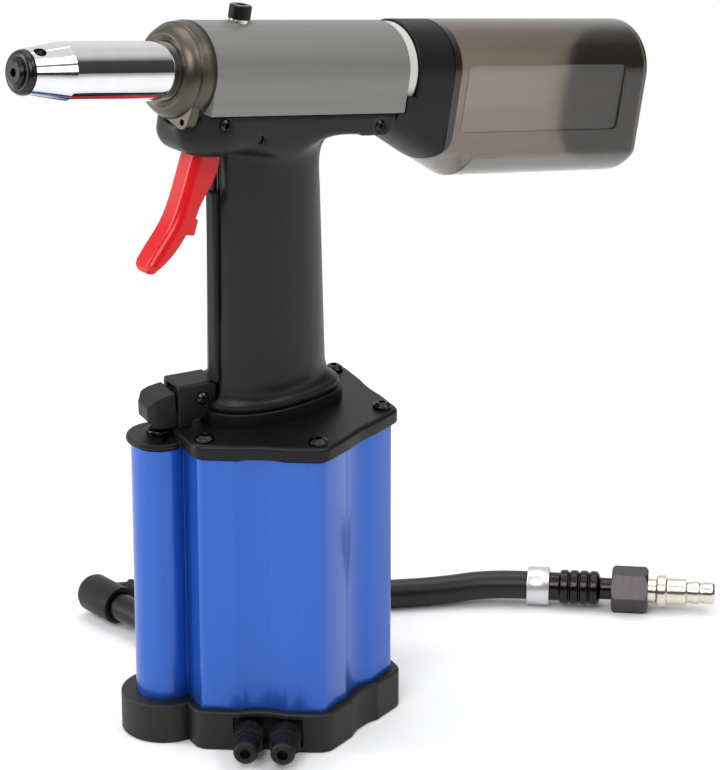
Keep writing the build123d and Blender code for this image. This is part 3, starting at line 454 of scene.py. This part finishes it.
# %% Copies with soft edges
CREASE = radians(32)
FLAT = radians(0.3)
MERGE = 1e-6
EDGE_STEPS = 2
slots = {row["node"]: row["material_slot"] for row in frame["record"]["subparts"]}
body_of = {node: body for body, nodes in frame["record"]["behaviour"]["bodies"].items() for node in nodes}
# The top plate takes the darker black, whose extra darkness is painted shade.
finish_of = dict(slots, coupling_nut="nut_steel", hose_tail="tail_steel", hose_ferrule="ferrule_silver",
                 top_plate="painted_shade_black_plate", lever_screw="black_steel", bleed_washer="bright_steel")
# Width of the rounded edge in millimetres.
SOFT_EDGES = {
    "air_cylinder": 0.25, "plate_screws": 0.2, "silencers": 0.2, "valve_gland": 0.4,
    "cradle_screws": 0.15, "rod_cover": 0.3, "valve_lever": 0.7, "lever_bracket": 0.7, "lever_screw": 0.2,
    "head_cylinder": 0.4, "lock_ring": 0.3, "nosepiece": 0.3, "rear_plug": 0.3, "collector_adapter": 0.5,
    "inlet_elbow": 0.4, "coupling_nut": 0.0,
}


def stand_for(node, shape, width_mm, crease=CREASE):
    """Turn a shape into the piece that stands for a CAD node, with rounded edges."""
    for face in shape.faces:
        face.smooth = True
    for edge in shape.edges:
        edge.smooth = edge.calc_face_angle(pi) < crease
    mesh = bpy.data.meshes.new(node + "_soft")
    shape.to_mesh(mesh)
    shape.free()
    mesh.materials.append(FINISHES[finish_of[node]])
    piece = bpy.data.objects.new(node + "_soft", mesh)
    bpy.context.scene.collection.objects.link(piece)
    if width_mm:
        bevel = piece.modifiers.new("soft edges", "BEVEL")
        bevel.limit_method = "ANGLE"
        bevel.angle_limit = crease
        bevel.width = width_mm / 1000
        bevel.segments = EDGE_STEPS
        bevel.use_clamp_overlap = False
        bevel.harden_normals = True
    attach(piece, body_of[node])
    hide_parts(node)
    return piece


def copy_of(node):
    """A merged copy of a CAD node's mesh."""
    shape = bmesh.new()
    shape.from_mesh(frame["nodes"][node].data)
    bmesh.ops.remove_doubles(shape, verts=shape.verts, dist=MERGE)
    bmesh.ops.dissolve_limit(shape, angle_limit=FLAT, verts=shape.verts, edges=shape.edges)
    return shape


pieces = {node: stand_for(node, copy_of(node), width) for node, width in SOFT_EDGES.items()}
print(len(pieces), "pieces with soft edges")

# %% [markdown]
# ## Chromed nose
# Polished chrome shows every flat of a coarse mesh, so the nose housing is turned anew with many steps: a
# long cone in front and a plain tube behind. Two round spanner holes are then cut through the cone by a
# Boolean modifier, whose result is kept as the mesh.

# %% Chromed nose housing
NOSE_STEPS = 192
# Steps along the head and radii in millimetres, from the front of the cone to the flange and back through
# the bore.
NOSE = [(-125.3, 5.0), (-125.3, 9.2), (-107.4, 12.0), (-50.0, 12.0), (-50.0, 14.2), (-44.1, 14.2),
        (-44.1, 9.1), (-114.0, 9.1), (-114.0, 5.0), (-125.3, 5.0)]
HOLE_ALONG, HOLE_RADIUS, HOLE_LENGTH, HOLE_STEPS = -0.1212, 0.0026, 0.05, 48
HOLE_TURN = radians(22.5)
CONE_CREASE = radians(5)
HEAD_PLACE = Vector((0, 0, 0.2885))
# Points closer than a speck are merged, and faces thinner than a sliver are dissolved.
SPECK, SLIVER = 2e-5, 1e-5


def spun(outline, steps):
    """A half outline, given as steps along X and radii in millimetres, spun once round X."""
    shape = bmesh.new()
    points = [shape.verts.new((along / 1000, 0, radius / 1000)) for along, radius in outline]
    edges = [shape.edges.new(pair) for pair in zip(points, points[1:])]
    bmesh.ops.spin(shape, geom=points + edges, cent=(0, 0, 0), axis=(1, 0, 0), angle=2 * pi, steps=steps,
                   use_merge=True)
    bmesh.ops.remove_doubles(shape, verts=shape.verts, dist=MERGE)
    bmesh.ops.recalc_face_normals(shape, faces=shape.faces)
    return shape


def object_of(name, shape):
    """A scratch object for a modifier to work on."""
    mesh = bpy.data.meshes.new(name)
    shape.to_mesh(mesh)
    shape.free()
    made = bpy.data.objects.new(name, mesh)
    bpy.context.scene.collection.objects.link(made)
    return made


def result_of(made):
    """The shape that an object's modifiers give. The object itself is removed."""
    mesh = bpy.data.meshes.new_from_object(made.evaluated_get(bpy.context.evaluated_depsgraph_get()))
    bpy.data.objects.remove(made)
    shape = bmesh.new()
    shape.from_mesh(mesh)
    bmesh.ops.remove_doubles(shape, verts=shape.verts, dist=SPECK)
    bmesh.ops.dissolve_degenerate(shape, dist=SLIVER, edges=shape.edges)
    return shape


def drilled(made, radius, length, steps, place):
    """The shape of an object after a drill of that size has gone through it. The object itself is removed."""
    shape = bmesh.new()
    bmesh.ops.create_cone(shape, cap_ends=True, segments=steps, radius1=radius, radius2=radius, depth=length,
                          matrix=place)
    drill = object_of("drill", shape)
    cut = made.modifiers.new("hole", "BOOLEAN")
    cut.object = drill
    shape = result_of(made)
    bpy.data.objects.remove(drill)
    return shape


across = Matrix.Rotation(HOLE_TURN, 4, "X") @ Matrix.Translation((HOLE_ALONG, 0, 0))
shape = drilled(object_of("nose", spun(NOSE, NOSE_STEPS)), HOLE_RADIUS, HOLE_LENGTH, HOLE_STEPS, across)
from_head = Matrix.Translation(HEAD_PLACE) @ Matrix.Rotation(HEAD_RAKE, 4, "Y")
bmesh.ops.transform(shape, matrix=from_head, verts=shape.verts)
print("nose housing of", len(shape.faces), "faces")
pieces["nose_housing"] = stand_for("nose_housing", shape, 0.0, CONE_CREASE)

# %% [markdown]
# ## Head seal
# The rubber ring between the lock ring and the grey cylinder stands a little proud, as squeezed rubber
# does. It is spun like the nose, from a plain rectangle.

# %% Head seal
SEAL = [(-45.3, 14.6), (-45.3, 20.55), (-43.7, 20.55), (-43.7, 14.6), (-45.3, 14.6)]

shape = spun(SEAL, NOSE_STEPS)
bmesh.ops.transform(shape, matrix=from_head, verts=shape.verts)
pieces["head_seal"] = stand_for("head_seal", shape, 0.2)
print("seal", round(SEAL[2][0] - SEAL[1][0], 1), "mm wide")

# %% [markdown]
# ## Bleed screw
# The screw on top of the head has a knurled cap for the fingers. A cylinder with one side face for each
# ridge is the start: every side face is inset by itself and lifted, which leaves a groove between the
# ridges. The top gets a small step and a round socket in the same way.

# %% Knurled cap
CAP_RADIUS = 4.35 / 1000
CAP_HEIGHT = 5.6 / 1000
RIDGES = 30
RIDGE_GAP = 0.14 / 1000
RIDGE_LIFT = 0.32 / 1000
SHANK_RADIUS = 2.9 / 1000
SHANK_LENGTH = 6.6 / 1000
SOCKET_RADIUS = 2.1 / 1000
SCREW_FOOT = Vector((-0.0192, 0, 0.0214))

shape = bmesh.new()
bmesh.ops.create_cone(shape, cap_ends=True, segments=RIDGES, radius1=CAP_RADIUS, radius2=CAP_RADIUS,
                      depth=CAP_HEIGHT, matrix=Matrix.Translation((0, 0, CAP_HEIGHT / 2)))
cap_top = [face for face in shape.faces if face.normal.z > 0.9]
bmesh.ops.inset_individual(shape, faces=[face for face in shape.faces if abs(face.normal.z) < 0.5],
                           thickness=RIDGE_GAP, depth=RIDGE_LIFT)
bmesh.ops.inset_region(shape, faces=cap_top, thickness=RIDGE_LIFT, depth=RIDGE_LIFT)
bmesh.ops.inset_region(shape, faces=cap_top, thickness=CAP_RADIUS - RIDGE_LIFT - SOCKET_RADIUS)
bmesh.ops.inset_region(shape, faces=cap_top, thickness=RIDGE_GAP, depth=-CAP_HEIGHT / 2)
bmesh.ops.create_cone(shape, cap_ends=True, segments=RIDGES, radius1=SHANK_RADIUS, radius2=SHANK_RADIUS,
                      depth=SHANK_LENGTH, matrix=Matrix.Translation((0, 0, -SHANK_LENGTH / 2)))
bmesh.ops.transform(shape, matrix=from_head @ Matrix.Translation(SCREW_FOOT), verts=shape.verts)
print("knurled cap with", RIDGES, "ridges and", len(shape.faces), "faces")
pieces["bleed_screw"] = stand_for("bleed_screw", shape, 0.08)

# %% [markdown]
# ## Seat of the handle
# The top plate rises in a low seat under the handle, straight along the sides and squarer behind than in
# front. The CAD plate has a lower, elliptic rise there, so a plane cuts that off, the cut is filled, and
# the seat is built anew: a ring of faces between two circles is extruded upwards. A function gives the
# outline of the seat, because the foot of the handle has to follow it too: it draws the sides of an
# ellipse in and pushes its rear corners out.

# %% Top plate with its seat
# The foot in plan: its middle and half sizes, how far its sides are drawn in, how square it is behind, and
# the share round its middle that stays as it is.
SEAT_MIDDLE = -0.0015
SEAT_LENGTH, SEAT_WIDTH = 0.0316, 0.0202
SEAT_SQUEEZE = 0.935
SEAT_POWER = 3.0
SEAT_CORE = 0.6
# How much larger than the foot the seat is, its bore round the ram's bush, and how deep it is let into
# the plate.
SEAT_RIM = 1.045
SEAT_BORE = 0.01105
SEAT_STEPS = 96
SEAT_SUNK = 0.001
PLATE_TOP, SEAT_TOP = 0.1403, 0.1467


def foot_plan(x, y):
    """Where a point of an elliptic foot goes on the squarer outline. Points round the bores stay."""
    ahead, aside = (x - SEAT_MIDDLE) / SEAT_LENGTH, y * SEAT_SQUEEZE / SEAT_WIDTH
    size = hypot(ahead, aside)
    if size < SEAT_CORE:
        return Vector((x, y))
    squarer = (abs(ahead) ** SEAT_POWER + abs(aside) ** SEAT_POWER) ** (1 / SEAT_POWER)
    grow = 1.0 if ahead < 0 else size / squarer
    return Vector((SEAT_MIDDLE + ahead * grow * SEAT_LENGTH, aside * grow * SEAT_WIDTH))


shape = copy_of("top_plate")
bmesh.ops.bisect_plane(shape, geom=[*shape.verts, *shape.edges, *shape.faces], dist=MERGE,
                       plane_co=(0, 0, PLATE_TOP), plane_no=(0, 0, 1), clear_outer=True)
bmesh.ops.triangle_fill(shape, use_beauty=True, edges=[edge for edge in shape.edges if edge.is_boundary])
outer = bmesh.ops.create_circle(shape, segments=SEAT_STEPS, radius=SEAT_RIM)["verts"]
for vert in outer:
    vert.co.xy = foot_plan(SEAT_MIDDLE + SEAT_LENGTH * vert.co.x, SEAT_WIDTH / SEAT_SQUEEZE * vert.co.y)
inner = bmesh.ops.create_circle(shape, segments=SEAT_STEPS, radius=SEAT_BORE)["verts"]
bmesh.ops.translate(shape, vec=(0, 0, PLATE_TOP - SEAT_SUNK), verts=outer + inner)
loops = [edge for edge in shape.edges if edge.is_wire]
ring = bmesh.ops.bridge_loops(shape, edges=loops)["faces"]
risen = bmesh.ops.extrude_face_region(shape, geom=ring)["geom"]
bmesh.ops.translate(shape, vec=(0, 0, SEAT_TOP - PLATE_TOP + SEAT_SUNK),
                    verts=[item for item in risen if isinstance(item, bmesh.types.BMVert)])
bmesh.ops.recalc_face_normals(shape, faces=shape.faces)
print("seat rises", round((SEAT_TOP - PLATE_TOP) * 1000, 1), "mm above the plate,",
      sum(not edge.is_manifold for edge in shape.edges), "loose edges")
pieces["top_plate"] = stand_for("top_plate", shape, 0.7)

# %% [markdown]
# ## Cast handle
# The handle is one casting, and sand or die, a casting has no sharp edge anywhere: the underside of the
# cradle runs into the grip in one soft sweep. Rounding each edge by itself can't give that, so the shape
# is remeshed into an even skin of small squares, whose points are then moved: the lower edge of the prow
# onto a round, and the foot onto its seat. Last the skin is smoothed, and the sweep under the cradle far
# longer than the rest.

# %% Cast handle
SKIN_MM = 0.8
ALL_OVER_PASSES = 6
# Where along the head each stretch of the sweep begins, and how many more passes it gets than the one
# before.
SWEEP_PASSES = ((-0.0125, 8), (-0.009, 12), (-0.005, 16), (-0.001, 24))
SWEEP_END, SWEEP_TOP, SWEEP_LOW = 0.040, -0.0225, -0.046
# The cheeks beside the trigger reach lower than the CAD solid's, and the lower edge of the prow is a wide
# round.
CRADLE_LOW, CRADLE_HALF = -0.0315, 0.0204
CHEEK_DROP, CHEEK_FULL, CHEEK_END = 0.0022, -0.038, -0.022
CHEEK_TOP = -0.019
PROW_MIDDLE = -0.0285
PROW_ROUND, ROUND_FULL, ROUND_END = 0.0085, -0.020, -0.002
TOUCHING = 0.0004
# The foot of the grip stands on the raised seat: below one height it moves up whole, and above another
# not at all.
FOOT_LIFT, FOOT_FULL, FOOT_END = 0.0039, 0.1465, 0.158
PIN_PLACE = Vector((-0.0199, 0, 0.2675))
PIN_RADIUS, PIN_LENGTH, PIN_STEPS = 0.00165, 0.08, 32


def fade(value, full, end):
    """One up to a value, nothing past another, and a straight slope between."""
    return min(1.0, max(0.0, (end - value) / (end - full)))


def smooth(shape, verts, passes):
    """Draw points towards the middle of their neighbours, several times."""
    for step in range(passes):
        bmesh.ops.smooth_vert(shape, verts=verts, factor=0.5, use_axis_x=True, use_axis_y=True,
                              use_axis_z=True)


rough = object_of("handle_rough", copy_of("handle"))
remesh = rough.modifiers.new("even skin", "REMESH")
remesh.mode = "VOXEL"
remesh.voxel_size = SKIN_MM / 1000
shape = result_of(rough)
to_head = from_head.inverted()
for vert in shape.verts:
    along, across, height = to_head @ vert.co
    drop = CHEEK_DROP * fade(along, CHEEK_FULL, CHEEK_END)
    height -= drop * fade(height, CRADLE_LOW, CHEEK_TOP)
    radius = PROW_ROUND * fade(along, ROUND_FULL, ROUND_END)
    forward = min(0.0, along - PROW_MIDDLE)
    reach = hypot(forward, across)
    out = reach - CRADLE_HALF + radius
    down = CRADLE_LOW - drop + radius - height
    if out > 0 and 0 < down < radius + TOUCHING and hypot(out, down) > radius:
        pull = radius / hypot(out, down)
        share = (CRADLE_HALF - radius + out * pull) / reach
        along += forward * (share - 1)
        across *= share
        height += down * (1 - pull)
    vert.co = from_head @ Vector((along, across, height))
    raised = fade(vert.co.z, FOOT_FULL, FOOT_END)
    vert.co.xy = Vector(vert.co.xy).lerp(foot_plan(vert.co.x, vert.co.y), raised)
    vert.co.z += FOOT_LIFT * raised
smooth(shape, shape.verts, ALL_OVER_PASSES)
for start, passes in SWEEP_PASSES:
    sweep = [vert for vert in shape.verts if start < (to_head @ vert.co).x < SWEEP_END
             and SWEEP_LOW < (to_head @ vert.co).z < SWEEP_TOP]
    smooth(shape, sweep, passes)
sideways = Matrix.Translation(PIN_PLACE) @ Matrix.Rotation(radians(90), 4, "X")
shape = drilled(object_of("handle_skin", shape), PIN_RADIUS, PIN_LENGTH, PIN_STEPS, sideways)
print("handle skin of", len(shape.faces), "faces")
pieces["handle"] = stand_for("handle", shape, 0.0)

# %% [markdown]
# ## Hose
# A short black rubber hose lies on the floor from the elbow behind the base to its fittings. It is one
# smooth line, so it is a NURBS curve with a round section, and the points are the ones that the CAD solid
# bends around. Blender counts the radius of a curve's points in its bounding box, so the points hold the
# hose's radius and the bevel is 1.

# %% Hose
HOSE_POINTS = [
    (0.0076, 0.1087, 0.0105), (0.0206, 0.1012, 0.0105), (0.0346, 0.0920, 0.0084), (0.0522, 0.0776, 0.0066),
    (0.0720, 0.0600, 0.0066), (0.0940, 0.0435, 0.0066), (0.1215, 0.0255, 0.0067), (0.1395, 0.0124, 0.0096),
    (0.1517, -0.0007, 0.0096),
]
HOSE_RADIUS = 0.0065

hose_curve = bpy.data.curves.new("air_hose", "CURVE")
hose_curve.dimensions = "3D"
hose_curve.bevel_depth = 1.0
hose_curve.bevel_resolution = 10
hose_curve.use_fill_caps = True
line = hose_curve.splines.new("NURBS")
line.points.add(len(HOSE_POINTS) - 1)
for point, where in zip(line.points, HOSE_POINTS):
    point.co = (*where, 1.0)
    point.radius = HOSE_RADIUS
line.order_u = 3
line.use_endpoint_u = True
line.resolution_u = 16
hose = bpy.data.objects.new("air_hose", hose_curve)
bpy.context.scene.collection.objects.link(hose)
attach(hose, "tool")
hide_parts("hose")
hose_curve.materials.append(FINISHES["hose_rubber"])
print("hose length", round(line.calc_length(), 4), "m")

# %% [markdown]
# ## Fittings on the hose
# The ferrule, the ribbed tail and the plug are turned pieces. Each is a half outline, given as steps
# along the line and radii, that is spun once round the line's axis and then laid on it. The steps come
# from the photo, which shows more of them than the CAD solids have. The ferrule is a plain band, the tail
# has four ribs behind a smooth collar, and the plug has a stop flange, a body with a locking groove and a
# thin tip.

# %% Turned fittings
LINE_END = Vector(HOSE_POINTS[-1])
LINE_RUN = LINE_END - Vector(HOSE_POINTS[-2])
LINE_PLACE = Matrix.Translation(LINE_END) @ LINE_RUN.to_track_quat("X", "Z").to_matrix().to_4x4()
TURN_STEPS = 64
RIB_START, RIB_PITCH, RIB_COUNT = 14.8, 4.5, 4
RIB_ROOT, RIB_CREST = 6.9, 7.9
# Steps along the line and radii in millimetres, both measured from the end of the hose.
FERRULE = [(0.0, 6.6), (0.0, 8.5), (0.5, 8.8), (9.7, 8.8), (10.2, 8.5), (10.2, 6.6), (0.0, 6.6)]
TAIL = [(10.0, 3.0), (10.0, 6.5), (14.4, 6.5), (RIB_START, RIB_ROOT)]
for rib in range(RIB_COUNT):
    low = RIB_START + RIB_PITCH * rib
    TAIL += [(low + 0.9, RIB_CREST), (low + 3.6, RIB_CREST), (low + RIB_PITCH, RIB_ROOT)]
TAIL += [(33.6, 5.0), (38.9, 5.0), (38.9, 3.0), TAIL[0]]
PLUG = [(55.3, 2.8), (55.3, 5.6), (59.0, 5.6), (59.4, 7.0), (60.0, 7.4), (63.4, 7.4), (64.2, 6.2),
        (72.6, 6.2), (73.4, 4.9), (75.2, 4.9), (75.8, 5.3), (78.6, 5.3), (79.2, 4.6), (80.0, 4.6),
        (80.6, 5.0), (84.8, 5.0), (86.0, 4.2), (86.0, 2.8), (55.3, 2.8)]
# Each outline with the width of its rounded edges in millimetres.
TURNED = {"hose_ferrule": (FERRULE, 0.25), "hose_tail": (TAIL, 0.35), "quick_plug": (PLUG, 0.15)}

for node, (outline, width) in TURNED.items():
    shape = spun(outline, TURN_STEPS)
    bmesh.ops.transform(shape, matrix=LINE_PLACE, verts=shape.verts)
    pieces[node] = stand_for(node, shape, width)
    print(node, "is", round(outline[-2][0] - outline[0][0], 1), "mm long")

# %% [markdown]
# ## Springs
# Two springs inside are squeezed when the tool works: the return spring by the pulling piston and the
# trigger spring by its rod. Here each gets a merged copy of its CAD mesh, with a mesh of its own.

# %% Springs
# Joint, seat, the other end, and how far the joint travels, in the tool's frame and in metres.
SPRINGS = {
    "return_spring": ("pull_stroke", from_head @ Vector((0.0517, 0, 0)),
                      from_head @ Vector((0.0211, 0, 0)), 0.0201),
    "trigger_spring": ("rod_push", Vector((-0.0256, 0, 0.2041)), Vector((-0.0256, 0, 0.2259)), 0.0011),
}
for node, (joint, seat, free_end, travel) in SPRINGS.items():
    pieces[node] = stand_for(node, copy_of(node), 0.0)
    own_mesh(pieces[node])

# %% [markdown]
# ## Everything else
# The pieces inside, and those whose CAD edges are already round, keep their CAD mesh and get the finish of
# their slot.

for node in slots:
    mesh = frame["nodes"][node].data
    mesh.materials.clear()
    mesh.materials.append(FINISHES[finish_of[node]])
print(len(slots) - len(pieces) - 1, "nodes keep their CAD mesh")
